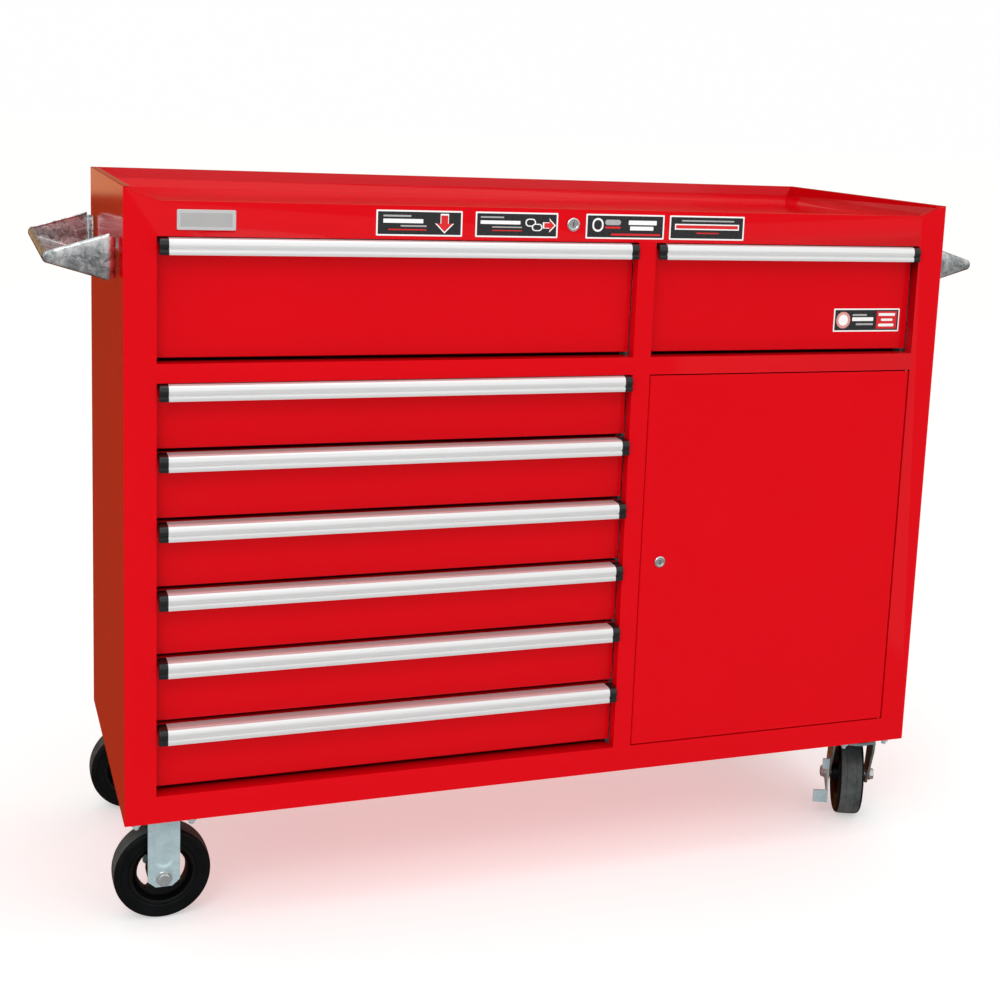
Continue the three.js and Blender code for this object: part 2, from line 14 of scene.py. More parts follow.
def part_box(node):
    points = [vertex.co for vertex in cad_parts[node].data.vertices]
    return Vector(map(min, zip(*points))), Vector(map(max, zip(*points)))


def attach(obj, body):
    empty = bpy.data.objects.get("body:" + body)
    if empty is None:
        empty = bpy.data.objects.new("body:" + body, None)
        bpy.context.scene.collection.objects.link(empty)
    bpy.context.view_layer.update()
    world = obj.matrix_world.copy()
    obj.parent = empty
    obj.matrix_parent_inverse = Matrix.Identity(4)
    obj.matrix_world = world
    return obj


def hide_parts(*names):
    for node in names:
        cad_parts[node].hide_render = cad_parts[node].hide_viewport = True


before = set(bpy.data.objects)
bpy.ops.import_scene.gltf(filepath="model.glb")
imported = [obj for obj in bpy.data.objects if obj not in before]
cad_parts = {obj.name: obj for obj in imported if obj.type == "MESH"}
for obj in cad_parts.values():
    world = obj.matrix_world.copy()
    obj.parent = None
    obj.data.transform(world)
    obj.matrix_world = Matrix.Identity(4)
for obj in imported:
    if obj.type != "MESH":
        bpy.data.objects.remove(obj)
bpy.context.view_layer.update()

MM = 0.001
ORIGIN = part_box("front_frame")[0]
TO_FRAME = Matrix.Translation(ORIGIN) @ Matrix.Scale(MM, 4)
FROM_FRAME = TO_FRAME.inverted()


def box(node):
    """A CAD node's lowest and highest corner in millimetres."""
    low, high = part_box(node)
    return FROM_FRAME @ low, FROM_FRAME @ high


# ---------------------------------------------------------------- node graphs
class Graph:
    """A Principled material with a few shorthands for its procedural inputs."""

    def __init__(self, name, **sockets):
        self.material = bpy.data.materials.new(name)
        self.material.use_nodes = True
        self.tree = self.material.node_tree
        self.shader = self.tree.nodes["Principled BSDF"]
        self.coordinates = self.tree.nodes.new("ShaderNodeTexCoord").outputs["Object"]
        for socket, value in sockets.items():
            self.shader.inputs[socket.replace("_", " ")].default_value = value

    def new(self, kind, inputs=(), **properties):
        node = self.tree.nodes.new("ShaderNode" + kind)
        for key, value in properties.items():
            setattr(node, key, value)
        for key, value in dict(inputs).items():
            if isinstance(value, bpy.types.NodeSocket):
                self.tree.links.new(value, node.inputs[key])
            else:
                node.inputs[key].default_value = value
        return node

    def to(self, socket, output):
        self.tree.links.new(output, self.shader.inputs[socket])

    def stretched(self, scale):
        return self.new("Mapping", {"Vector": self.coordinates, "Scale": scale}).outputs[0]

    def noise(self, scale, detail=3.0, rough=0.55, vector=None, distortion=0.0):
        inputs = {
            "Vector": vector or self.coordinates,
            "Scale": scale,
            "Detail": detail,
            "Roughness": rough,
            "Distortion": distortion,
        }
        return self.new("TexNoise", inputs).outputs["Fac"]

    def cells(self, scale, feature="F1", vector=None, randomness=1.0):
        inputs = {"Vector": vector or self.coordinates, "Scale": scale, "Randomness": randomness}
        return self.new("TexVoronoi", inputs, feature=feature)

    def span(self, value, low, high, start=0.0, end=1.0):
        """value, as it goes from start to end, becomes low to high."""
        inputs = {"Value": value, "From Min": start, "From Max": end, "To Min": low, "To Max": high}
        return self.new("MapRange", inputs).outputs[0]

    def math(self, operation, a, b):
        node = self.new("Math", operation=operation)
        for socket, value in zip(node.inputs, (a, b)):
            if isinstance(value, bpy.types.NodeSocket):
                self.tree.links.new(value, socket)
            else:
                socket.default_value = value
        return node.outputs[0]

    def mix(self, factor, a, b):
        node = self.new("Mix", data_type="RGBA")
        for socket, value in zip((node.inputs[0], node.inputs[6], node.inputs[7]), (factor, a, b)):
            if isinstance(value, bpy.types.NodeSocket):
                self.tree.links.new(value, socket)
            else:
                socket.default_value = value
        return node.outputs[2]

    def bump(self, height, strength, distance, below=None):
        inputs = {"Height": height, "Strength": strength, "Distance": distance}
        if below:
            inputs["Normal"] = below
        return self.new("Bump", inputs).outputs[0]


def rgb(red, green, blue):
    """A linear colour with full opacity."""
    return (red, green, blue, 1.0)


# ---------------------------------------------------------------- materials
def gloss_paint(name, colour, shade, roughness, specular, peel=0.06):
    """Powder coat: faint cloudiness, orange peel and a slightly uneven gloss."""
    g = Graph(name, Specular_IOR_Level=specular, Metallic=0.0)
    cloud = g.noise(2.3, 4.0)
    g.to("Base Color", g.mix(g.span(cloud, 0.0, 1.0, 0.3, 0.7), colour, shade))
    g.to("Roughness", g.span(g.noise(38.0, 5.0), roughness - 0.03, roughness + 0.05))
    peel_normal = g.bump(g.noise(420.0, 2.0, 0.5), peel, 0.0004)
    g.to("Normal", g.bump(g.noise(2600.0, 2.0), peel * 0.5, 0.00008, peel_normal))
    return g.material


def extruded_aluminium():
    """Satin anodised extrusion with die lines along its length."""
    g = Graph("aluminium", Metallic=0.5)
    lines = g.noise(1.0, 5.0, 0.7, g.stretched((3.0, 900.0, 900.0)))
    g.to("Base Color", g.mix(g.span(lines, 0.0, 1.0, 0.3, 0.7), rgb(0.79, 0.80, 0.80), rgb(0.89, 0.89, 0.89)))
    g.to("Roughness", g.span(lines, 0.26, 0.42, 0.3, 0.7))
    g.to("Normal", g.bump(lines, 0.12, 0.0001))
    return g.material


def galvanised_sheet():
    """Hot-dip zinc: interlocking spangles of different brightness and a fine crystalline grain."""
    g = Graph("galvanised", Metallic=0.95)
    drift = g.new("TexNoise", {"Vector": g.coordinates, "Scale": 45.0, "Detail": 4.0}).outputs["Color"]
    drift = g.new("VectorMath", {0: drift, "Scale": 0.03}, operation="SCALE").outputs[0]
    warped = g.new("VectorMath", {0: g.coordinates, 1: drift}, operation="ADD").outputs[0]
    spangle = g.cells(190.0, vector=warped)
    tone = g.new("SeparateColor", {"Color": spangle.outputs["Color"]}).outputs[0]
    grain = g.noise(700.0, 4.0, 0.7)
    flow = g.span(g.noise(26.0, 3.0, 0.55, distortion=1.2), 0.0, 1.0, 0.42, 0.6)
    crystals = g.math("ADD", g.math("MULTIPLY", tone, 0.35), g.math("MULTIPLY", grain, 0.2))
    mixed = g.math("ADD", crystals, g.math("MULTIPLY", flow, 0.45))
    g.to("Base Color", g.mix(mixed, rgb(0.22, 0.25, 0.26), rgb(0.95, 0.96, 0.96)))
    g.to("Roughness", g.span(tone, 0.14, 0.34))
    ridges = g.cells(190.0, "DISTANCE_TO_EDGE", warped).outputs["Distance"]
    g.to("Normal", g.bump(g.span(ridges, 0.0, 1.0, 0.0, 0.08), 0.12, 0.0002, g.bump(grain, 0.1, 0.0001)))
    return g.material


def plated(name, dark, light, metallic, low, high):
    """Bright zinc plate or chrome: soft blotches, handling marks and a fine tooth."""
    g = Graph(name, Metallic=metallic)
    blotch = g.noise(45.0, 5.0, 0.6, distortion=0.6)
    g.to("Base Color", g.mix(g.span(blotch, 0.0, 1.0, 0.3, 0.7), dark, light))
    g.to("Roughness", g.span(g.noise(160.0, 4.0), low, high, 0.3, 0.7))
    g.to("Normal", g.bump(g.noise(1500.0, 3.0), 0.06, 0.0001))
    return g.material


def moulded(name, dark, light, low, high, tooth, tooth_scale, specular=0.5):
    """Black plastic, rubber or cast iron under paint."""
    g = Graph(name, Specular_IOR_Level=specular)
    haze = g.noise(26.0, 5.0, 0.65)
    g.to("Base Color", g.mix(g.span(haze, 0.0, 1.0, 0.35, 0.7), dark, light))
    g.to("Roughness", g.span(g.noise(90.0, 4.0), low, high, 0.3, 0.7))
    g.to("Normal", g.bump(g.noise(tooth_scale, 3.0, 0.6), tooth, 0.0003))
    return g.material


def film(name, colour, shade, roughness):
    """Printed vinyl."""
    g = Graph(name, Specular_IOR_Level=0.4)
    g.to("Base Color", g.mix(g.noise(30.0, 3.0), colour, shade))
    g.to("Roughness", g.span(g.noise(220.0, 2.0), roughness - 0.05, roughness + 0.05))
    g.to("Normal", g.bump(g.noise(90.0, 2.0), 0.03, 0.0003))
    return g.material


def brushed_plate():
    """Brushed metal of the blank badge, its lines running across the plate."""
    g = Graph("badge_metal", Metallic=0.7)
    lines = g.noise(1.0, 4.0, 0.7, g.stretched((40.0, 40.0, 2500.0)))
    g.to("Base Color", g.mix(lines, rgb(0.62, 0.63, 0.64), rgb(0.86, 0.86, 0.86)))
    g.to("Roughness", g.span(lines, 0.28, 0.45))
    g.to("Normal", g.bump(lines, 0.08, 0.0001))
    return g.material


RED = gloss_paint("red_paint", rgb(0.665, 0.0012, 0.0062), rgb(0.64, 0.0010, 0.0056), 0.09, 0.13)
LINER = gloss_paint("inner_paint", rgb(0.56, 0.002, 0.007), rgb(0.5, 0.0018, 0.006), 0.3, 0.15, 0.1)
ALUMINIUM = extruded_aluminium()
GALVANISED = galvanised_sheet()
ZINC = plated("zinc_plate", rgb(0.46, 0.62, 0.66), rgb(0.60, 0.77, 0.80), 0.5, 0.26, 0.4)
# The swivel forks' zinc is a darker copy of the bright zinc plate, painted shade for the shadow they sit in
# under the cabinet.
SHADED_FORK_ZINC = plated("fork_zinc_painted_shade", rgb(0.30, 0.38, 0.40), rgb(0.44, 0.54, 0.56), 0.92, 0.24, 0.38)
STEEL = plated("bright_steel", rgb(0.55, 0.57, 0.58), rgb(0.72, 0.74, 0.75), 0.9, 0.2, 0.34)
CHROME = plated("chrome", rgb(0.62, 0.63, 0.64), rgb(0.78, 0.79, 0.80), 1.0, 0.08, 0.2)
PLASTIC = moulded("cap_plastic", rgb(0.006, 0.006, 0.007), rgb(0.011, 0.011, 0.012), 0.12, 0.22, 0.06, 900.0)
RUBBER = moulded(
    "tyre_rubber", rgb(0.0012, 0.0016, 0.0020), rgb(0.0040, 0.0048, 0.0054), 0.34, 0.52, 0.25, 700.0, 0.12)
# The tread rubber is a lighter grey copy of the tyre's black rubber, a painted highlight for the light the
# tread catches.
TREAD_PAINTED_HIGHLIGHT = moulded("tyre_tread_painted_highlight", rgb(0.030, 0.036, 0.037), rgb(0.085, 0.097, 0.098), 0.5, 0.7, 0.35, 500.0, 0.3)
CAST = moulded(
    "cast_core", rgb(0.0012, 0.0015, 0.0018), rgb(0.003, 0.0035, 0.004), 0.26, 0.42, 0.5, 260.0, 0.2)
VINYL_WHITE = film("vinyl_white", rgb(0.90, 0.90, 0.90), rgb(0.86, 0.86, 0.86), 0.3)
VINYL_BLACK = film("vinyl_black", rgb(0.013, 0.013, 0.015), rgb(0.022, 0.022, 0.024), 0.28)
VINYL_GREY = film("vinyl_grey", rgb(0.42, 0.42, 0.42), rgb(0.36, 0.36, 0.36), 0.3)
VINYL_PINK = film("vinyl_pink", rgb(0.72, 0.32, 0.30), rgb(0.66, 0.28, 0.26), 0.3)
VINYL_RED = film("vinyl_red", rgb(0.70, 0.01, 0.015), rgb(0.6, 0.01, 0.014), 0.3)
BADGE = brushed_plate()


# ---------------------------------------------------------------- mesh helpers, in millimetres
def from_geometry(points, faces):
    """A mesh from its corner points and the corners of each face."""
    mesh = bmesh.new()
    corners = [mesh.verts.new(point) for point in points]
    for face in faces:
        mesh.faces.new([corners[i] for i in face])
    return mesh


def cuboid(low, high):
    """A box between two opposite corners."""
    points = [(x, y, z) for x in (low[0], high[0]) for y in (low[1], high[1]) for z in (low[2], high[2])]
    faces = [(0, 1, 3, 2), (4, 6, 7, 5), (0, 4, 5, 1), (2, 3, 7, 6), (0, 2, 6, 4), (1, 5, 7, 3)]
    return from_geometry(points, faces)


def pan(low, high, wall, axis, side):
    """A thin-walled box open at its low (side 0) or high (side 1) end along an axis."""
    inner_low = [value + wall for value in low]
    inner_high = [value - wall for value in high]
    (inner_high if side else inner_low)[axis] = (high if side else low)[axis]
    points = []
    for a, b in ((low, high), (inner_low, inner_high)):
        points += [(x, y, z) for x in (a[0], b[0]) for y in (a[1], b[1]) for z in (a[2], b[2])]
    sides = {
        (0, 0): (0, 1, 3, 2), (0, 1): (4, 6, 7, 5), (1, 0): (0, 4, 5, 1),
        (1, 1): (2, 3, 7, 6), (2, 0): (0, 2, 6, 4), (2, 1): (1, 5, 7, 3),
    }
    faces = []
    for key, face in sides.items():
        if key == (axis, side):
            for i in range(4):
                a, b = face[i], face[(i + 1) % 4]
                faces.append((a, b, b + 8, a + 8))
        else:
            faces.append(face)
            faces.append(tuple(i + 8 for i in reversed(face)))
    return from_geometry(points, faces)


def rounded(points, radii, steps=5):
    """A closed 2-D outline with its corners rounded, each by its own radius."""
    outline = []
    if not isinstance(radii, (list, tuple)):
        radii = [radii] * len(points)
    for i, radius in enumerate(radii):
        before, corner, after = (Vector(points[(i + k) % len(points)]) for k in (-1, 0, 1))
        u, v = before - corner, after - corner
        reach = 0.49 * min(u.length, v.length)
        u.normalize()
        v.normalize()
        half = u.angle(v) / 2
        if radius <= 0 or half > math.radians(89):
            outline.append(tuple(corner))
            continue
        cut = min(radius / math.tan(half), reach)
        radius = cut * math.tan(half)
        centre = corner + (u + v).normalized() * (radius / math.sin(half))
        first, last = corner + u * cut - centre, corner + v * cut - centre
        start = math.atan2(first.y, first.x)
        turn = math.remainder(math.atan2(last.y, last.x) - start, 2 * math.pi)
        for k in range(steps + 1):
            angle = start + turn * k / steps
            outline.append((centre.x + radius * math.cos(angle), centre.y + radius * math.sin(angle)))
    return outline


def extrude(outline, axis, start, end):
    """An outline pushed along an axis from start to end."""
    def place(point, along):
        spot = list(point)
        spot.insert(axis, along)
        return spot

    mesh = bmesh.new()
    loops = [[mesh.verts.new(place(point, along)) for point in outline] for along in (start, end)]
    count = len(outline)
    for a, b in zip(loops, loops[1:]):
        for i in range(count):
            mesh.faces.new((a[i], a[(i + 1) % count], b[(i + 1) % count], b[i]))
    mesh.faces.new(loops[0])
    mesh.faces.new(list(reversed(loops[-1])))
    return mesh


def lathe(profile, sides, closed=True, axis=1):
    """A profile of (radius, distance along the axis) turned round the axis through the origin."""
    others = [i for i in range(3) if i != axis]
    mesh = bmesh.new()
    rings = []
    for k in range(sides):
        angle = 2 * math.pi * k / sides
        ring = []
        for radius, along in profile:
            spot = [0.0, 0.0, 0.0]
            spot[axis] = along
            spot[others[0]] = radius * math.cos(angle)
            spot[others[1]] = radius * math.sin(angle)
            ring.append(mesh.verts.new(spot))
        rings.append(ring)
    count = len(profile)
    spans = range(count if closed else count - 1)
    for k in range(sides):
        a, b = rings[k], rings[(k + 1) % sides]
        for i in spans:
            mesh.faces.new((a[i], a[(i + 1) % count], b[(i + 1) % count], b[i]))
    return mesh


def hexagon(across, height, washer=0.0):
    """A bolt head or nut along +Z with a turned chamfer, its base lifted by an optional washer thickness."""
    mesh = bmesh.new()
    top = across * 0.46
    per_side = 6
    rings = [[], [], [], []]
    for k in range(6 * per_side):
        angle = math.radians(k * 60 / per_side)
        local = math.radians((k % per_side) * 60 / per_side - 30)
        reach = across / 2 / math.cos(local)
        drop = (reach - top) * 0.5
        levels = [(reach, washer), (reach, height - drop), (top, height), (top * 0.55, height - 0.25)]
        for ring, (radius, z) in zip(rings, levels):
            ring.append(mesh.verts.new((radius * math.cos(angle), radius * math.sin(angle), z)))
    for a, b in zip(rings, rings[1:]):
        for i in range(len(a)):
            mesh.faces.new((a[i], a[(i + 1) % len(a)], b[(i + 1) % len(a)], b[i]))
    mesh.faces.new(rings[-1])
    mesh.faces.new(list(reversed(rings[0])))
    return mesh


def merge(*meshes):
    """Several loose shells as one mesh."""
    whole = meshes[0]
    for part in meshes[1:]:
        scratch = bpy.data.meshes.new("scratch")
        part.to_mesh(scratch)
        part.free()
        whole.from_mesh(scratch)
        bpy.data.meshes.remove(scratch)
    return whole


def moved(mesh, matrix):
    """The same mesh, transformed in place."""
    bmesh.ops.transform(mesh, matrix=matrix, verts=mesh.verts)
    return mesh


def cad(node):
    """A CAD node's solid in millimetres, with its triangles gathered into flat faces."""
    mesh = bmesh.new()
    mesh.from_mesh(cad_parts[node].data)
    moved(mesh, FROM_FRAME)
    bmesh.ops.remove_doubles(mesh, verts=mesh.verts, dist=0.005)
    bmesh.ops.dissolve_limit(mesh, angle_limit=math.radians(0.4), verts=mesh.verts, edges=mesh.edges)
    return mesh


def combine(operation, mesh, *others):
    """An exact boolean of bmesh solids."""
    objects = []
    for i, solid in enumerate((mesh, *others)):
        data = bpy.data.meshes.new(f"solid{i}")
        bmesh.ops.recalc_face_normals(solid, faces=solid.faces)
        solid.to_mesh(data)
        solid.free()
        holder = bpy.data.objects.new(f"solid{i}", data)
        bpy.context.scene.collection.objects.link(holder)
        objects.append(holder)
    for other in objects[1:]:
        step = objects[0].modifiers.new("step", "BOOLEAN")
        step.operation = operation
        step.solver = "EXACT"
        step.object = other
    evaluated = objects[0].evaluated_get(bpy.context.evaluated_depsgraph_get())
    result = bmesh.new()
    result.from_mesh(evaluated.to_mesh())
    evaluated.to_mesh_clear()
    for holder in objects:
        data = holder.data
        bpy.data.objects.remove(holder)
        bpy.data.meshes.remove(data)
    bmesh.ops.remove_doubles(result, verts=result.verts, dist=0.002)
    bmesh.ops.dissolve_limit(result, angle_limit=math.radians(0.4), verts=result.verts, edges=result.edges)
    return result


def piece(name, mesh, material, body, replaces=(), place=None, edge=0.0, segments=3, crease=32.0):
    """Moves a mesh to the row frame, softens its edges and hands it to the frame."""
    moved(mesh, TO_FRAME @ place if place else TO_FRAME)
    bmesh.ops.remove_doubles(mesh, verts=mesh.verts, dist=1e-7)
    bmesh.ops.recalc_face_normals(mesh, faces=mesh.faces)
    for face in mesh.faces:
        face.smooth = True
    for line in mesh.edges:
        if not edge and len(line.link_faces) == 2 and line.calc_face_angle() > math.radians(crease):
            line.smooth = False
    data = bpy.data.meshes.new(name)
    mesh.to_mesh(data)
    mesh.free()
    for layer in material if isinstance(material, tuple) else (material,):
        data.materials.append(layer)
    made = bpy.data.objects.new(name, data)
    bpy.context.scene.collection.objects.link(made)
    if edge:
        soft = made.modifiers.new("edges", "BEVEL")
        soft.width = edge * MM
        soft.segments = segments
        soft.limit_method = "ANGLE"
        soft.angle_limit = math.radians(crease)
    normals = made.modifiers.new("normals", "WEIGHTED_NORMAL")
    normals.keep_sharp = True
    normals.weight = 80
    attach(made, body)
    if replaces:
        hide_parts(*replaces)
    return made


# ---------------------------------------------------------------- sheet-metal body
frame_high = box("front_frame")[1]
WIDTH = frame_high.x
HEIGHT = frame_high.z
DEPTH = box("back_panel")[1].y
SHEET = 2.0
LIP = 949.5
STILE = 47.0
SILL_TOP = 43.3
RAIL_TOP = 712.0
CENTRE_STILE = (800, 831)


def body_shell():
    """Front, sides, back, floor and tray welded into one sheet-metal shell."""
    walls = [
        cuboid((0, 0.5, 0), (SHEET, DEPTH - 0.5, HEIGHT)),
        cuboid((WIDTH - SHEET, 0.5, 0), (WIDTH, DEPTH - 0.5, HEIGHT)),
        cuboid((0, DEPTH - SHEET, 0), (WIDTH, DEPTH, HEIGHT)),
        cuboid((1, 1, 0), (WIDTH - 1, DEPTH - 1, SHEET)),
    ]
    floor_low, floor_high = box("tray_floor_panel")
    walls.append(cuboid((20, 20, floor_low.z), (WIDTH - 20, DEPTH - 20, floor_high.z)))
    tray = cad("tray_rim")
    low, high = box("tray_rim")
    centre = (low + high) / 2
    grow = Matrix.Diagonal(((WIDTH - 2.6) / (high.x - low.x), (DEPTH - 2.6) / (high.y - low.y), 1, 1))
    moved(tray, Matrix.Translation(centre) @ grow @ Matrix.Translation(-centre))
    shell = combine("UNION", cad("front_frame"), *walls, tray)

    def outer(line):
        a, b = (vertex.co for vertex in line.verts)
        sides = (0, WIDTH)
        on_side = any(abs(a.x - x) < 0.01 and abs(b.x - x) < 0.01 for x in sides)
        on_front = abs(a.y) < 0.01 and abs(b.y) < 0.01
        on_back = abs(a.y - DEPTH) < 0.01 and abs(b.y - DEPTH) < 0.01
        on_floor = abs(a.z) < 0.01 and abs(b.z) < 0.01
        above_lip = a.z > LIP - 0.1 and b.z > LIP - 0.1
        if len(line.link_faces) != 2 or line.calc_face_angle() < math.radians(35):
            return False
        around = on_side + on_front + on_back
        return around + on_floor >= 2 or (above_lip and around > 0)

    edges = [line for line in shell.edges if outer(line)]
    bmesh.ops.bevel(
        shell, geom=edges, offset=1.8, segments=4, profile=0.5, affect="EDGES", clamp_overlap=True)
    return shell


SHELL_NODES = (
    "front_frame",
    "left_side_panel",
    "right_side_panel",
    "back_panel",
    "bottom_panel",
    "tray_rim",
    "tray_floor_panel",
)
shell = piece("body_shell", body_shell(), RED, "cabinet", SHELL_NODES, edge=0.8)
shell.modifiers["edges"].face_strength_mode = "FSTR_ALL"
shell.modifiers["normals"].use_face_influence = True

LEDGE_GAP = 0.4

# Returned ledges behind the sill and the rails, seen through the gaps under the drawers.
for ledge, x0, x1, top in (
    ("ledge_sill", STILE, CENTRE_STILE[0], SILL_TOP),
    ("ledge_rail_left", STILE, CENTRE_STILE[0], RAIL_TOP),
    ("ledge_rail_right", CENTRE_STILE[1], WIDTH - STILE, RAIL_TOP),
):
    strip = cuboid((x0 + LEDGE_GAP, 20.4, top - SHEET), (x1 - LEDGE_GAP, 33.5, top - LEDGE_GAP))
    piece(ledge, strip, RED, "cabinet", edge=0.4)

for node, material, slot in (
    ("centre_partition", LINER, "inner_paint"),
    ("upper_divider", LINER, "inner_paint"),
    ("cupboard_shelf", LINER, "inner_paint"),
    ("slide_rack_left", ZINC, "zinc_plate"),
    ("slide_rack_centre_left", ZINC, "zinc_plate"),
    ("slide_rack_centre_right", ZINC, "zinc_plate"),
    ("slide_rack_right", ZINC, "zinc_plate"),
    ("door_hinge_pin_lower", CHROME, "chrome"),
    ("door_hinge_pin_upper", CHROME, "chrome"),
):
    piece(f"{node}_detail", cad(node), material, "cabinet", (node,), edge=0.5, segments=2)
piece("lock_bar_detail", cad("lock_bar"), ZINC, "lock_bar", ("lock_bar",), edge=0.6, segments=2)

# The corner mitres of the top rim run a little way on across the front as a ground weld line.
for name, corner, inward in (("left", 0.0, 1.0), ("right", WIDTH, -1.0)):
    start, end = Vector((3.0, HEIGHT - 1.9)), Vector((STILE + 22, LIP - 8.6))
    along = (end - start).normalized()
    side = Vector((-along.y, along.x)) * 0.45
    outline = [start - side, end - side * 0.4, end + side * 0.4, start + side]
    outline = [(corner + inward * x, z) for x, z in outline]
    ridge = extrude(outline, 1, -0.22, 0.4)
    piece(f"mitre_line_{name}", ridge, RED, "cabinet", edge=0.15, segments=2)


# ---------------------------------------------------------------- drawers
PULL_TOP = [(28.7, 0), (8.6, 0), (3.4, -1.6), (1.0, -4.4), (-0.1, -9.5), (0.4, -14.6)]
PULL_GROOVE = [(2.2, -15.4), (2.2, -17.4), (0.45, -18.3)]
PULL_LOW = [(0.2, -21.4), (0.7, -24.9)]
PULL_HOOK = [(3.4, -25), (3.6, -9), (6.4, -5), (26.2, -5), (26.2, -25), (28.7, -25)]
PULL_CAP_BACK = [(6.0, -25), (6.0, -9), (28.7, -9)]
PULL_RADII = [0.3, 2.5, 2.5, 6, 12, 0.9, 0.5, 0.5, 0.9, 8, 0.9, 1.2, 1.5, 2, 1.5, 0.4, 0.4]
CAP = 13.5


def pull_outline(parts, radii, front, top):
    """A pull's section, from parts given relative to its front face and top edge."""
    return rounded([(front + y, top + z) for part in parts for y, z in part], radii)


def end_cap(front, top, outer, inner):
    """A glossy moulded cap, rounded where it meets the side gap."""
    parts = (PULL_TOP, PULL_GROOVE, PULL_LOW, PULL_CAP_BACK)
    outline = pull_outline(parts, PULL_RADII[:11] + [1.0, 1.0, 0.4], front, top)
    centre = Vector((front + 12.0, top - 12.5))
    direction = 1 if outer > inner else -1
    mesh = bmesh.new()
    rings = []
    for depth, inset in ((0.0, 1.9), (0.35, 0.95), (1.0, 0.35), (2.0, 0.0), (CAP, 0.0)):
        ring = []
        for y, z in outline:
            pulled = Vector((y, z)) - centre
            pulled *= 1 - inset / max(pulled.length, 4.0)
            ring.append(mesh.verts.new((outer - direction * depth, centre.x + pulled.x, centre.y + pulled.y)))
        rings.append(ring)
    count = len(outline)
    for a, b in zip(rings, rings[1:]):
        for i in range(count):
            mesh.faces.new((a[i], a[(i + 1) % count], b[(i + 1) % count], b[i]))
    mesh.faces.new(rings[0])
    mesh.faces.new(list(reversed(rings[-1])))
    return mesh


def runner(side_x, inward, y0, y1, level):
    """The moving slide member: a channel with rolled races along its two edges."""
    outline = [
        (0, -12.2), (6.2, -12.2), (6.2, -9.8), (2.2, -9.0), (1.6, -6.5), (1.6, 6.5),
        (2.2, 9.0), (6.2, 9.8), (6.2, 12.2), (0, 12.2),
    ]
    outline = rounded(outline, [1.2, 0.5, 0.5, 1.5, 1.5, 1.5, 1.5, 0.5, 0.5, 1.2], 3)
    outline = [(side_x + inward * x, level + z) for x, z in outline]
    return extrude(outline, 1, y0, y1)


for number in range(1, 9):
    body = f"drawer_{number}"
    low, high = box(body)
    front_back = low.y + 12
    walls_low = (low.x + 11.5, front_back - 1, low.z + 5)
    walls_high = (high.x - 11.5, high.y, high.z - 14)
    front = pan((low.x, low.y, low.z), (high.x, front_back, high.z), SHEET, 2, 0)
    piece(f"{body}_front", front, RED, body, (body,), edge=0.9)
    piece(f"{body}_box", pan(walls_low, walls_high, SHEET, 2, 1), RED, body, edge=0.9)
    level = low.z + 34
    runners = [
        runner(walls_low[0], -1, front_back + 5, high.y - 8, level),
        runner(walls_high[0], 1, front_back + 5, high.y - 8, level),
    ]
    piece(f"{body}_runners", merge(*runners), ZINC, body)

    pull_low, pull_high = box(f"{body}_pull")
    profile = pull_outline((PULL_TOP, PULL_GROOVE, PULL_LOW, PULL_HOOK), PULL_RADII, pull_low.y, pull_high.z)
    bar = extrude(profile, 0, pull_low.x + CAP, pull_high.x - CAP)
    piece(f"{body}_pull_bar", bar, ALUMINIUM, body, (f"{body}_pull",), crease=24)
    for end, outer, inner in (("left", pull_low.x, pull_high.x), ("right", pull_high.x, pull_low.x)):
        cap = end_cap(pull_low.y, pull_high.z, outer, inner)
        piece(f"{body}_pull_cap_{end}", cap, PLASTIC, body, crease=50)


# ---------------------------------------------------------------- cupboard door and locks
piece("cupboard_door_panel", cad("cupboard_door"), RED, "door", ("cupboard_door",), edge=0.7)


def lock(name, body, radius, cam_length, cam_angle):
    """A cam lock: domed bezel, recessed plug with a keyway, barrel and cam."""
    low, high = box(name)
    x, z = (low.x + radius, low.z + radius) if name == "main_lock" else (low.x + radius, high.z - radius)
    front = low.y
    bezel = [
        (radius * 0.60, front + 0.9), (radius * 0.68, front + 0.25), (radius * 0.80, front),
        (radius * 0.92, front + 0.3), (radius, front + 1.1), (radius, front + 2.2), (8.5, front + 2.2),
        (8.5, 23), (6.5, 23), (6.5, front + 0.9),
    ]
    plug = [
        (0, front + 0.75), (radius * 0.56, front + 0.75), (radius * 0.6, front + 1.0),
        (radius * 0.6, 22), (0, 22),
    ]
    place = Matrix.Translation((x, 0, z))
    piece(f"{name}_bezel", lathe(bezel, 48), CHROME, body, (name,), place)
    slot_cut = cuboid((-0.9, front - 1, -radius * 0.36), (0.9, 6, radius * 0.36))
    face = combine("DIFFERENCE", lathe(plug, 48, closed=False), slot_cut)
    piece(f"{name}_plug", face, CHROME, body, place=place, edge=0.15, segments=2)
    outline = [(0, 8), (-6, 8), (-8, 0), (-6, -8), (0, -8), (cam_length, -5), (cam_length, 5)]
    cam = extrude(rounded(outline, [2, 3, 3, 3, 2, 4, 4]), 1, 23, 26)
    turned = place @ Matrix.Rotation(math.radians(-cam_angle), 4, "Y")
    piece(f"{name}_cam", cam, ZINC, body, place=turned, edge=0.4, segments=2)


lock("door_lock", "door_lock", 9.5, 45, -90)
lock("main_lock", "main_lock", 10.5, 20, 0)


# ---------------------------------------------------------------- blank plates and stickers
def plate(name, x0, x1, z0, z1, face, thick, material, body, corner=1.2, edge=0.12):
    """A thin plate or film with rounded corners, standing out from a front face."""
    outline = rounded([(x0, z0), (x1, z0), (x1, z1), (x0, z1)], corner, 4)
    return piece(name, extrude(outline, 1, face - thick, face + 0.05), material, body, edge=edge, segments=2)


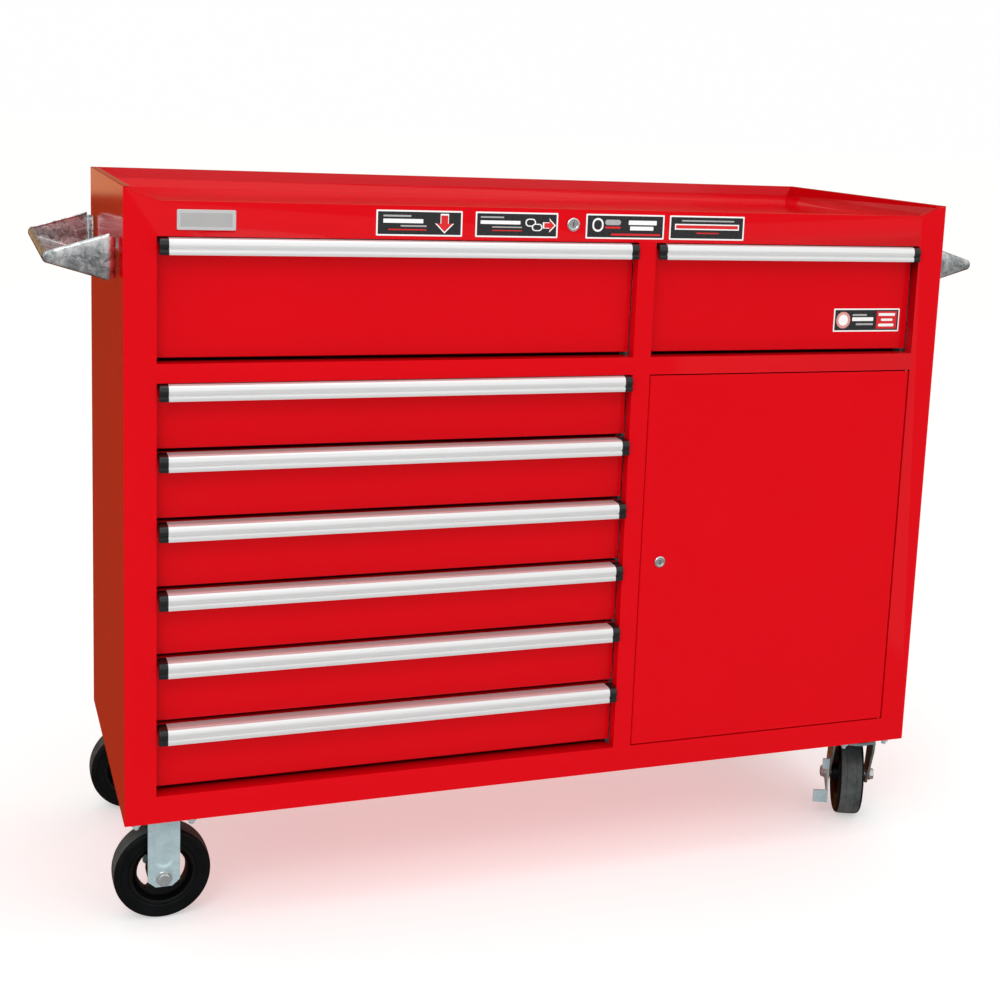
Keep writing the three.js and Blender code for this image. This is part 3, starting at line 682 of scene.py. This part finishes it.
def arrow(name, x, z, size, turn, face, thick, material, body):
    """A plain block arrow."""
    shape = [(-0.22, 0.5), (-0.22, 0.0), (-0.5, 0.0), (0.0, -0.5), (0.5, 0.0), (0.22, 0.0), (0.22, 0.5)]
    across, along = math.cos(math.radians(turn)), math.sin(math.radians(turn))
    outline = [
        (x + size * (px * across - pz * along), z + size * (px * along + pz * across))
        for px, pz in shape
    ]
    piece(name, extrude(outline, 1, face - thick, face), material, body)


def sticker(name, x0, x1, z0, z1, face, body, bars, arrows=()):
    """A white-edged black film with plain bars and arrows where the printing would be."""
    plate(f"{name}_edge", x0, x1, z0, z1, face, 0.18, VINYL_WHITE, body)
    plate(f"{name}_field", x0 + 2.4, x1 - 2.4, z0 + 2.4, z1 - 2.4, face, 0.24, VINYL_BLACK, body, 0.6, 0.05)
    width, height = x1 - x0, z1 - z0
    for i, (a, b, c, d, material) in enumerate(bars):
        spot = (x0 + a * width, x0 + b * width, z0 + c * height, z0 + d * height)
        corner = 0.48 * (d - c) * height if b - a < 0.25 else 0.4
        plate(f"{name}_bar_{i}", *spot, face, 0.29 + 0.02 * i, material, body, corner, 0.03)
    for i, (a, turn, size) in enumerate(arrows):
        spot = (x0 + a * width, (z0 + z1) / 2)
        arrow(f"{name}_arrow_rim_{i}", *spot, size, turn, face, 0.42, VINYL_WHITE, body)
        arrow(f"{name}_arrow_{i}", *spot, size - 5, turn, face, 0.48, VINYL_RED, body)


plate("badge", 75.0, 159.4, 907.6, 937.2, 0.0, 1.2, BADGE, "cabinet", 2.0, 0.4)
plate("badge_inset", 80.0, 154.4, 912.4, 932.4, 0.0, 1.32, VINYL_GREY, "cabinet", 1.2, 0.1)
LABEL_Z = (903.4, 942.5)
LABELS = {
    "label_1": (
        (368.3, 503.4),
        [(0.08, 0.40, 0.74, 0.81, VINYL_GREY), (0.08, 0.54, 0.50, 0.66, VINYL_WHITE),
         (0.28, 0.58, 0.36, 0.42, VINYL_GREY), (0.14, 0.58, 0.22, 0.27, VINYL_RED)],
        [(0.79, 0, 30)],
    ),
    "label_2": (
        (524.5, 659.6),
        [(0.06, 0.34, 0.76, 0.82, VINYL_GREY), (0.06, 0.54, 0.52, 0.66, VINYL_WHITE),
         (0.20, 0.56, 0.38, 0.43, VINYL_GREY), (0.20, 0.56, 0.25, 0.29, VINYL_RED),
         (0.60, 0.73, 0.44, 0.76, VINYL_WHITE), (0.615, 0.715, 0.485, 0.715, VINYL_BLACK),
         (0.68, 0.81, 0.27, 0.56, VINYL_WHITE), (0.695, 0.795, 0.31, 0.52, VINYL_BLACK)],
        [(0.895, 90, 22)],
    ),
    "label_3": (
        (707.1, 842.2),
        [(0.08, 0.22, 0.28, 0.84, VINYL_WHITE), (0.10, 0.20, 0.36, 0.76, VINYL_BLACK),
         (0.24, 0.44, 0.56, 0.78, VINYL_GREY), (0.24, 0.44, 0.42, 0.50, VINYL_RED),
         (0.54, 0.90, 0.58, 0.76, VINYL_WHITE), (0.56, 0.86, 0.36, 0.52, VINYL_WHITE),
         (0.32, 0.95, 0.14, 0.22, VINYL_RED)],
        [],
    ),
    "label_4": (
        (851.7, 985.7),
        [(0.07, 0.93, 0.42, 0.66, VINYL_WHITE), (0.085, 0.915, 0.47, 0.61, VINYL_RED),
         (0.16, 0.86, 0.76, 0.82, VINYL_GREY), (0.36, 0.66, 0.26, 0.31, VINYL_RED)],
        [],
    ),
}
for name, (span, bars, arrows) in LABELS.items():
    sticker(name, *span, *LABEL_Z, 0.0, "cabinet", bars, arrows)
sticker(
    "label_5", 1178.0, 1308.0, 748.0, 788.0, box("drawer_2")[0].y, "drawer_2",
    [(0.04, 0.25, 0.14, 0.86, VINYL_PINK), (0.075, 0.215, 0.26, 0.74, VINYL_WHITE),
     (0.65, 0.96, 0.12, 0.88, VINYL_RED), (0.28, 0.50, 0.68, 0.76, VINYL_GREY),
     (0.28, 0.60, 0.46, 0.62, VINYL_WHITE), (0.34, 0.60, 0.28, 0.36, VINYL_GREY),
     (0.68, 0.93, 0.68, 0.80, VINYL_WHITE), (0.72, 0.90, 0.46, 0.56, VINYL_WHITE),
     (0.68, 0.92, 0.22, 0.34, VINYL_WHITE)],
)


# ---------------------------------------------------------------- side handles
def handle_sheet():
    """One pressed sheet: two cheeks with turned edges, a wrapped lip and flanges against the panel."""
    low, high = box("left_handle")
    y0, y1 = low.y, high.y
    z0, z1 = low.z, high.z
    middle = (z0 + z1) / 2
    tip, roll = 10.0, 5.0
    reach = -low.x
    base = 12.0
    centre = reach - tip
    tilt = math.atan2((z1 - z0) / 2 - tip, centre)

    def outline(inset):
        """Points of the wedge from its upper base corner round the tip to its lower base corner."""
        radius = tip - inset
        lift = inset / math.cos(tilt)
        slope = math.tan(tilt)
        points = []
        upper_tangent = Vector((centre + radius * math.sin(tilt), middle + radius * math.cos(tilt)))
        for k in range(13):
            t = k / 12
            x = base + (upper_tangent.x - base) * t
            points.append((x, z1 - lift - slope * x))
        for k in range(1, 16):
            angle = (math.pi / 2 - tilt) - (math.pi - 2 * tilt) * k / 16
            points.append((centre + radius * math.cos(angle), middle + radius * math.sin(angle)))
        for k in range(13):
            t = 1 - k / 12
            x = base + (upper_tangent.x - base) * t
            points.append((x, z0 + lift + slope * x))
        return points

    mesh = bmesh.new()
    sections = []
    for k in range(6):
        angle = math.radians(90 * k / 5)
        sections.append((roll - roll * math.sin(angle), roll - roll * math.cos(angle)))
    stations = [(y0 + depth, inset) for inset, depth in sections]
    middle_stations = [(y0 + roll + (y1 - y0 - 2 * roll) * k / 8, 0.0) for k in range(1, 8)]
    stations += middle_stations + [(y1 - depth, inset) for inset, depth in reversed(sections)]
    rows = []
    for y, inset in stations:
        rows.append([mesh.verts.new((-x, y, z)) for x, z in outline(inset)])
    last = len(rows[0]) - 1
    lip_from, lip_to = 12, 34
    for r, (a, b) in enumerate(zip(rows, rows[1:])):
        spanning = 5 <= r < len(rows) - 6
        for i in range(last):
            if spanning and not lip_from <= i < lip_to:
                continue
            mesh.faces.new((a[i], b[i], b[i + 1], a[i + 1]))
    for row, wall_y, inward in ((rows[0], y0, 1), (rows[-1], y1, -1)):
        for i in range(last // 2 - 1):
            mesh.faces.new((row[i], row[i + 1], row[last - i - 1], row[last - i]))
        mesh.faces.new(row[last // 2 - 1:last // 2 + 2])
        previous = (row[0], row[last])
        bend = base - 3.0
        for k in range(1, 7):
            angle = math.radians(90 * k / 6)
            x = base - bend * math.sin(angle)
            y = wall_y + inward * bend * (1 - math.cos(angle))
            pair = tuple(mesh.verts.new((-x, y, old.co.z)) for old in (row[0], row[last]))
            mesh.faces.new((previous[0], previous[1], pair[1], pair[0]))
            previous = pair
        flat_end = wall_y + inward * 32
        pair = tuple(mesh.verts.new((old.co.x, flat_end, old.co.z)) for old in previous)
        mesh.faces.new((previous[0], previous[1], pair[1], pair[0]))
    bmesh.ops.remove_doubles(mesh, verts=mesh.verts, dist=0.001)
    bmesh.ops.recalc_face_normals(mesh, faces=mesh.faces)
    return mesh


def handle(side, mirror):
    """A side handle with its four bolts. The right one is the left one mirrored."""
    node = f"{side}_handle"
    middle = Matrix.Translation((WIDTH / 2, 0, 0))
    flip = middle @ Matrix.Diagonal((-1, 1, 1, 1)) @ Matrix.Translation((-WIDTH / 2, 0, 0))
    place = flip if mirror else Matrix()
    made = piece(
        f"{node}_sheet", handle_sheet(), GALVANISED, "cabinet", (node,), place, crease=60)
    made.modifiers.remove(made.modifiers["normals"])
    thick = made.modifiers.new("thickness", "SOLIDIFY")
    thick.thickness = 2.5 * MM
    thick.offset = -1.0
    thick.use_even_offset = True
    soft = made.modifiers.new("edges", "BEVEL")
    soft.width = 0.6 * MM
    soft.segments = 2
    soft.limit_method = "ANGLE"
    soft.angle_limit = math.radians(60)
    low, high = box("left_handle")
    bolts = []
    for y in (low.y + 22, high.y - 22):
        for z in (low.z + 19, high.z - 19):
            turn = Matrix.Translation((-3.2, y, z)) @ Matrix.Rotation(math.radians(-90), 4, "Y")
            washer = lathe([(4.2, 0), (8.4, 0), (8.4, 1.3), (8.0, 1.6), (4.2, 1.6)], 32, axis=2)
            bolts.append(moved(merge(washer, hexagon(13, 6.8, 1.6)), turn))
    piece(f"{node}_bolts", merge(*bolts), STEEL, "cabinet", place=place, crease=25)


handle("left", False)
handle("right", True)


# ---------------------------------------------------------------- casters
FORK_HALF = 38          # half the outer width of a fixed caster's bracket
SWIVEL_FORK_HALF = 41.3
PLATE_BOTTOM = -5.3     # underside of a caster's top plate
# Beyond this radius the tyre takes the lighter tread rubber, which paints its highlight.
TREAD_FROM = 73.4       # radius from which the tyre is tread and not side wall


def tyre_profile():
    """Tread with a slight crown and two fine grooves, round shoulders and a stepped side wall."""
    half = [
        (75.0, 0.0), (74.95, 5.0), (74.9, 8.0), (74.3, 8.4), (74.3, 9.2), (74.8, 9.6), (74.5, 15.0),
        (73.8, 18.6), (72.2, 21.2), (69.6, 22.6), (66.0, 23.0), (64.6, 22.7), (64.0, 21.9), (57.0, 21.6),
        (55.6, 22.2), (54.0, 22.2), (52.2, 21.0),
    ]
    return [(r, -y) for r, y in reversed(half)] + half[1:]


def core_profile():
    """Rim, web and hub of a spoked casting, as a closed section."""
    half = [
        (51.9, 20.2), (49.0, 20.4), (46.6, 19.4), (44.6, 16.0), (43.0, 10.5), (40.5, 8.0), (30.0, 7.4),
        (23.0, 8.2), (20.4, 11.0), (19.4, 16.0), (19.0, 28.4), (17.6, 30.0), (8.0, 30.0), (6.4, 29.0),
    ]
    return [(r, -y) for r, y in half] + [(r, y) for r, y in reversed(half)]


def kidney(middle):
    """The outline of one window in the wheel's web."""
    inner, outer, spread, corner = 23.5, 38.0, math.radians(52), 7.0
    points = []
    steps = 14
    for k in range(steps + 1):
        angle = middle - spread + 2 * spread * k / steps
        points.append((outer * math.cos(angle), outer * math.sin(angle)))
    for k in range(steps + 1):
        angle = middle + spread - 2 * spread * k / steps
        points.append((inner * math.cos(angle), inner * math.sin(angle)))
    radii = [0.0] * len(points)
    for i in (0, steps, steps + 1, 2 * steps + 1):
        radii[i] = corner
    return rounded(points, radii, 6)


def wheel_core():
    """The casting with two kidney-shaped windows through its web."""
    body = lathe(core_profile(), 72)
    windows = [extrude(kidney(math.pi * k), 1, -15, 15) for k in (0, 1)]
    return combine("DIFFERENCE", body, *windows)


def wheel(name, body, place):
    """Tyre, with its tread as a second, lighter rubber that paints a highlight on it, and core."""
    tyre = lathe(tyre_profile(), 96)
    for face in tyre.faces:
        spot = face.calc_center_median()
        # Tread faces get the lighter rubber, a painted highlight; the side walls keep the black.
        face.material_index = int(math.hypot(spot.x, spot.z) > TREAD_FROM)
    piece(f"{name}_tyre_rubber", tyre, (RUBBER, TREAD_PAINTED_HIGHLIGHT), body, (f"{name}_tyre",), place, crease=40)
    core = f"{name}_core"
    piece(f"{core}_casting", wheel_core(), CAST, body, (core,), place, edge=0.9, segments=2)


def axle(name, body, place, half):
    """Hex bolt, washers, nylock nut and the shank between."""
    shank = [(0, -half - 1), (6, -half - 1), (6, half + 8.0), (5.2, half + 8.6), (0, half + 8.6)]
    parts = [lathe(shank, 24, closed=False)]
    for side in (-1, 1):
        turn = Matrix.Rotation(math.radians(90 * -side), 4, "X")
        washer = lathe([(6.2, 0), (12.0, 0), (12.0, 1.3), (11.5, 1.7), (6.2, 1.7)], 36, axis=2)
        head = hexagon(18, 8.0 if side < 0 else 7.6, 1.7)
        parts.append(moved(merge(washer, head), Matrix.Translation((0, side * (half + 0.3), 0)) @ turn))
    bolt = f"{name}_axle_bolt"
    piece(f"{bolt}_detail", merge(*parts), STEEL, body, (bolt,), place, crease=25)


def top_plate():
    """Plate with rounded corners, its four bolts with washers and nuts below."""
    outline = rounded([(-57.5, -50), (57.5, -50), (57.5, 50), (-57.5, 50)], 9)
    parts = [extrude(outline, 2, PLATE_BOTTOM, -0.3)]
    for x in (-42, 42):
        for y in (-38, 38):
            washer = lathe([(4.3, 0), (9.5, 0), (9.5, 1.2), (9.1, 1.6), (4.3, 1.6)], 28, axis=2)
            nut = hexagon(14.5, 7.6, 1.6)
            tail = lathe([(0, 7), (4, 7), (4, 12.6), (3.4, 13.2), (0, 13.2)], 20, closed=False, axis=2)
            flip = Matrix.Translation((x, y, PLATE_BOTTOM)) @ Matrix.Rotation(math.pi, 4, "X")
            parts.append(moved(merge(washer, nut, tail), flip))
    return merge(*parts)


def pressed_leg(side):
    """A caster leg with cut-off feet and a shallow channel pressed into it."""
    half, foot, top, thick, depth = 24.5, -119.0, -5.0, 4.0, 2.0
    channel, channel_end, soft = 14.5, -71.0, 3.4
    columns, rows = 36, 60
    mesh = bmesh.new()
    levels = [top + (foot - top) * r / rows for r in range(rows + 1)]
    grids = {}
    for layer in (0, 1):
        grid = []
        for z in levels:
            width = half if z > foot + 10 else half - 12 * (foot + 10 - z) / 10
            row = []
            for c in range(columns + 1):
                x = -width + 2 * width * c / columns
                beyond = math.hypot(x, z - channel_end) - channel if z < channel_end else abs(x) - channel
                blend = min(max(0.5 - beyond / (2 * soft), 0.0), 1.0)
                press = depth * blend * blend * (3 - 2 * blend)
                y = side * (FORK_HALF - press - thick * layer)
                row.append(mesh.verts.new((x, y, z)))
            grid.append(row)
        grids[layer] = grid
    for grid in grids.values():
        for a, b in zip(grid, grid[1:]):
            for i in range(columns):
                mesh.faces.new((a[i], a[i + 1], b[i + 1], b[i]))
    outer, inner = grids[0], grids[1]
    for i in range(columns):
        mesh.faces.new((outer[0][i], outer[0][i + 1], inner[0][i + 1], inner[0][i]))
        mesh.faces.new((outer[-1][i], outer[-1][i + 1], inner[-1][i + 1], inner[-1][i]))
    for r in range(rows):
        for c in (0, columns):
            mesh.faces.new((outer[r][c], outer[r + 1][c], inner[r + 1][c], inner[r][c]))
    return mesh


def fixed_bracket():
    """Top plate, crown and two pressed legs of a fixed caster."""
    low, high = (-FORK_HALF, -9.3), (FORK_HALF, -4.8)
    section = rounded([low, (high[0], low[1]), high, (low[0], high[1])], [3.5, 3.5, 0, 0])
    return merge(top_plate(), extrude(section, 0, -24.5, 24.5), pressed_leg(-1), pressed_leg(1))


for end in ("front", "rear"):
    for kind in ("fixed", "swivel"):
        plate_low, plate_high = box(f"{kind}_{end}_bracket" if kind == "fixed" else f"swivel_{end}_plate")
        core_low, core_high = box(f"{kind}_{end}_core")
        axle_spot = (core_low + core_high) / 2
        mount = (plate_low + plate_high) / 2
        mount.z = 0
        offset = axle_spot - mount
        name = f"{kind}_{end}"
        if kind == "fixed":
            stand = Matrix.Translation(mount)
            bracket = f"{name}_bracket"
            piece(f"{bracket}_pressing", fixed_bracket(), ZINC, "cabinet", (bracket,), stand,
                  edge=0.7, segments=2, crease=62)
            hub = Matrix.Translation(axle_spot)
            wheel(name, f"{name}_wheel", hub)
            axle(name, "cabinet", hub, FORK_HALF)
            continue
        heading = math.atan2(offset.y, offset.x)
        hub = Matrix.Translation(axle_spot) @ Matrix.Rotation(heading, 4, "Z")
        dish = [(0, -5.0), (35, -5.0), (37.4, -7.5), (37.4, -10.4), (35.6, -13.2), (0, -13.4)]
        raceway = lathe(dish, 64, closed=False, axis=2)
        piece(f"{name}_top_plate", merge(top_plate(), raceway), ZINC, "cabinet",
              (f"{name}_plate",), Matrix.Translation(mount), edge=0.5, segments=2, crease=40)
        for node, part_body in ((f"{name}_fork", name), (f"{name}_brake_pedal", f"{name}_brake")):
            # The forks take the darker zinc, painted shade for the shadow under the cabinet; the brake pedals
            # keep the plain zinc.
            metal = SHADED_FORK_ZINC if part_body == name else ZINC
            piece(f"{node}_detail", cad(node), metal, part_body, (node,), edge=0.7, segments=2)
        wheel(name, f"{name}_wheel", hub)
        axle(name, name, hub, SWIVEL_FORK_HALF)


# ---------------------------------------------------------------- floor, light and camera
def floor():
    """A pale floor, seen from above only, that doesn't show in reflections."""
    white = rgb(1.0, 1.0, 1.0)
    g = Graph("floor", Specular_IOR_Level=0.1, Roughness=0.8, Emission_Color=white, Emission_Strength=0.44)
    g.to("Base Color", g.mix(g.noise(0.9, 4.0), rgb(0.70, 0.70, 0.70), rgb(0.74, 0.74, 0.74)))
    under = g.new("BsdfTransparent")
    two_sided = g.new("MixShader", {0: g.new("NewGeometry").outputs["Backfacing"]})
    g.tree.links.new(g.shader.outputs[0], two_sided.inputs[1])
    g.tree.links.new(under.outputs[0], two_sided.inputs[2])
    g.tree.links.new(two_sided.outputs[0], g.tree.nodes["Material Output"].inputs["Surface"])
    mesh = bmesh.new()
    bmesh.ops.create_grid(mesh, x_segments=2, y_segments=2, size=60)
    data = bpy.data.meshes.new("floor")
    mesh.to_mesh(data)
    mesh.free()
    data.materials.append(g.material)
    made = bpy.data.objects.new("floor", data)
    bpy.context.scene.collection.objects.link(made)
    made.visible_glossy = False


def surroundings():
    """White above the horizon, and a dim warm room below it for what the gloss reflects."""
    world = bpy.data.worlds.new("studio")
    bpy.context.scene.world = world
    world.use_nodes = True
    tree = world.node_tree
    background = tree.nodes["Background"]

    def new(kind, inputs=(), **properties):
        node = tree.nodes.new("ShaderNode" + kind)
        for key, value in properties.items():
            setattr(node, key, value)
        for key, value in dict(inputs).items():
            if isinstance(value, bpy.types.NodeSocket):
                tree.links.new(value, node.inputs[key])
            else:
                node.inputs[key].default_value = value
        return node

    axes = new("SeparateXYZ", {0: new("TexCoord").outputs["Generated"]}).outputs

    def ramp(value, start, end):
        return new("MapRange", {"Value": value, "From Min": start, "From Max": end}).outputs[0]

    def blend(factor, first, second):
        mixed = new("Mix", {0: factor}, data_type="RGBA")
        for slot, value in ((6, first), (7, second)):
            if isinstance(value, bpy.types.NodeSocket):
                tree.links.new(value, mixed.inputs[slot])
            else:
                mixed.inputs[slot].default_value = value
        return mixed.outputs[2]

    across, height = axes[1], axes[2]
    room = blend(ramp(height, -0.0655, -0.062), rgb(0.19, 0.055, 0.015), rgb(0.66, 0.36, 0.17))
    room = blend(ramp(height, -0.03, 0.0), room, rgb(0.30, 0.19, 0.10))
    room = blend(ramp(height, 0.3, 0.85), room, rgb(1.0, 1.0, 1.0))
    front = blend(ramp(height, -0.05, 0.0), rgb(0.34, 0.34, 0.34), rgb(1.0, 1.0, 1.0))
    tree.links.new(blend(ramp(across, 0.1, -0.5), room, front), background.inputs["Color"])
    background.inputs["Strength"].default_value = 0.95


def backdrop():
    """A white cyclorama that only the camera sees."""
    g = Graph("backdrop", Base_Color=rgb(0.0, 0.0, 0.0), Specular_IOR_Level=0.0, Emission_Strength=1.0)
    g.to("Emission Color", g.mix(g.noise(0.02), rgb(1.0, 1.0, 1.0), rgb(0.99, 0.99, 0.99)))
    mesh = bmesh.new()
    bmesh.ops.create_uvsphere(mesh, u_segments=48, v_segments=24, radius=59)
    data = bpy.data.meshes.new("backdrop")
    mesh.to_mesh(data)
    mesh.free()
    data.materials.append(g.material)
    made = bpy.data.objects.new("backdrop", data)
    bpy.context.scene.collection.objects.link(made)
    made.visible_diffuse = made.visible_glossy = made.visible_transmission = False
    made.visible_volume_scatter = made.visible_shadow = False


def softbox(name, spot, target, size, power):
    """A rectangular lamp aimed at a point."""
    light = bpy.data.lights.new(name, "AREA")
    light.shape = "RECTANGLE"
    light.size, light.size_y = size
    light.energy = power
    made = bpy.data.objects.new(name, light)
    made.location = spot
    made.rotation_mode = "QUATERNION"
    made.rotation_quaternion = (Vector(target) - Vector(spot)).to_track_quat("-Z", "Y")
    bpy.context.scene.collection.objects.link(made)


def camera():
    """The photograph's viewpoint, as a pinhole camera without lens distortion."""
    data = bpy.data.cameras.new("camera")
    data.lens = 58.35
    data.sensor_width = 36.0
    data.shift_x = -0.0807
    data.shift_y = -0.1126
    data.clip_end = 400.0
    made = bpy.data.objects.new("camera", data)
    right, up, forward = (
        Vector((0.93174, -0.36029, 0.04540)),
        Vector((0.01994, 0.17560, 0.98426)),
        Vector((0.36259, 0.91617, -0.17079)),
    )
    turn = Matrix((right, up, -forward)).transposed().to_4x4()
    made.matrix_world = Matrix.Translation((-0.91967, -2.65679, 1.28903)) @ turn
    bpy.context.scene.collection.objects.link(made)
    bpy.context.scene.camera = made


floor()
surroundings()
backdrop()
softbox("key", (-2.2, -3.4, 3.6), (0.0, 0.0, 0.6), (1.6, 1.6), 36)
softbox("top", (0.4, -0.4, 4.2), (0.0, 0.0, 0.9), (3.0, 2.0), 22)
camera()
bpy.context.scene.view_settings.view_transform = "Standard"
